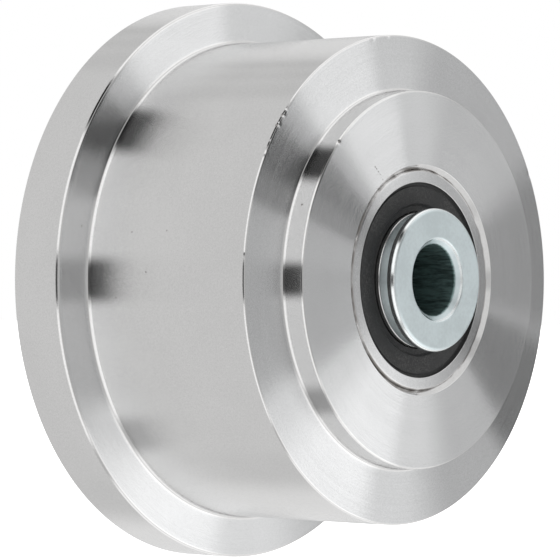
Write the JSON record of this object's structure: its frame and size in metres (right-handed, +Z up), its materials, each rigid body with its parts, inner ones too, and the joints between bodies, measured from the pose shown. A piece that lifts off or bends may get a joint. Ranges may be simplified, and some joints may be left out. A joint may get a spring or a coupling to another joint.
{
  "type": "flanged track wheel",
  "caption": "Turned steel track wheel with a single guide flange, raised hub, sealed ball bearings and flanged axle bushes.",
  "frame": {"origin": "middle of the axle bore, halfway between the two bush faces", "axes": "+Y along the axle from the boss side to the flange side, +Z up, +X to the right seen from the boss side"},
  "size_m": [0.1044, 0.0588, 0.1044],
  "materials": {
    "wheel_steel": "turned, bare",
    "bush_zinc": "zinc plated",
    "spacer_steel": "drawn tube",
    "bearing_steel": "ground",
    "ball_steel": "polished",
    "cage_steel": "pressed sheet",
    "rivet_steel": "headed wire",
    "seal_rubber": "matt moulded"
  },
  "bodies": {
    "axle_sleeve": {"front_bush": "bush_zinc", "rear_bush": "bush_zinc", "bearing_spacer": "spacer_steel", "front_inner_ring": "bearing_steel", "rear_inner_ring": "bearing_steel"},
    "wheel": {"wheel": "wheel_steel", "front_outer_ring": "bearing_steel", "front_outer_seal": "seal_rubber", "front_inner_seal": "seal_rubber", "rear_outer_ring": "bearing_steel", "rear_outer_seal": "seal_rubber", "rear_inner_seal": "seal_rubber"},
    "front_cage": {"front_balls": "ball_steel", "front_cage_outer": "cage_steel", "front_cage_inner": "cage_steel", "front_cage_rivets": "rivet_steel"},
    "rear_cage": {"rear_balls": "ball_steel", "rear_cage_outer": "cage_steel", "rear_cage_inner": "cage_steel", "rear_cage_rivets": "rivet_steel"}
  },
  "joints": [
    {"name": "wheel_spin", "type": "hinge", "parent": "axle_sleeve", "child": "wheel", "pos_m": [0, 0, 0], "axis": [0, 1, 0], "continuous": true},
    {"name": "front_cage_orbit", "type": "hinge", "parent": "axle_sleeve", "child": "front_cage", "pos_m": [0, 0, 0], "axis": [0, 1, 0], "continuous": true},
    {"name": "rear_cage_orbit", "type": "hinge", "parent": "axle_sleeve", "child": "rear_cage", "pos_m": [0, 0, 0], "axis": [0, 1, 0], "continuous": true}
  ],
  "couplings": [
    {"joint": "front_cage_orbit", "follows": "wheel_spin", "ratio": 0.61842},
    {"joint": "rear_cage_orbit", "follows": "wheel_spin", "ratio": 0.61842}
  ]
}
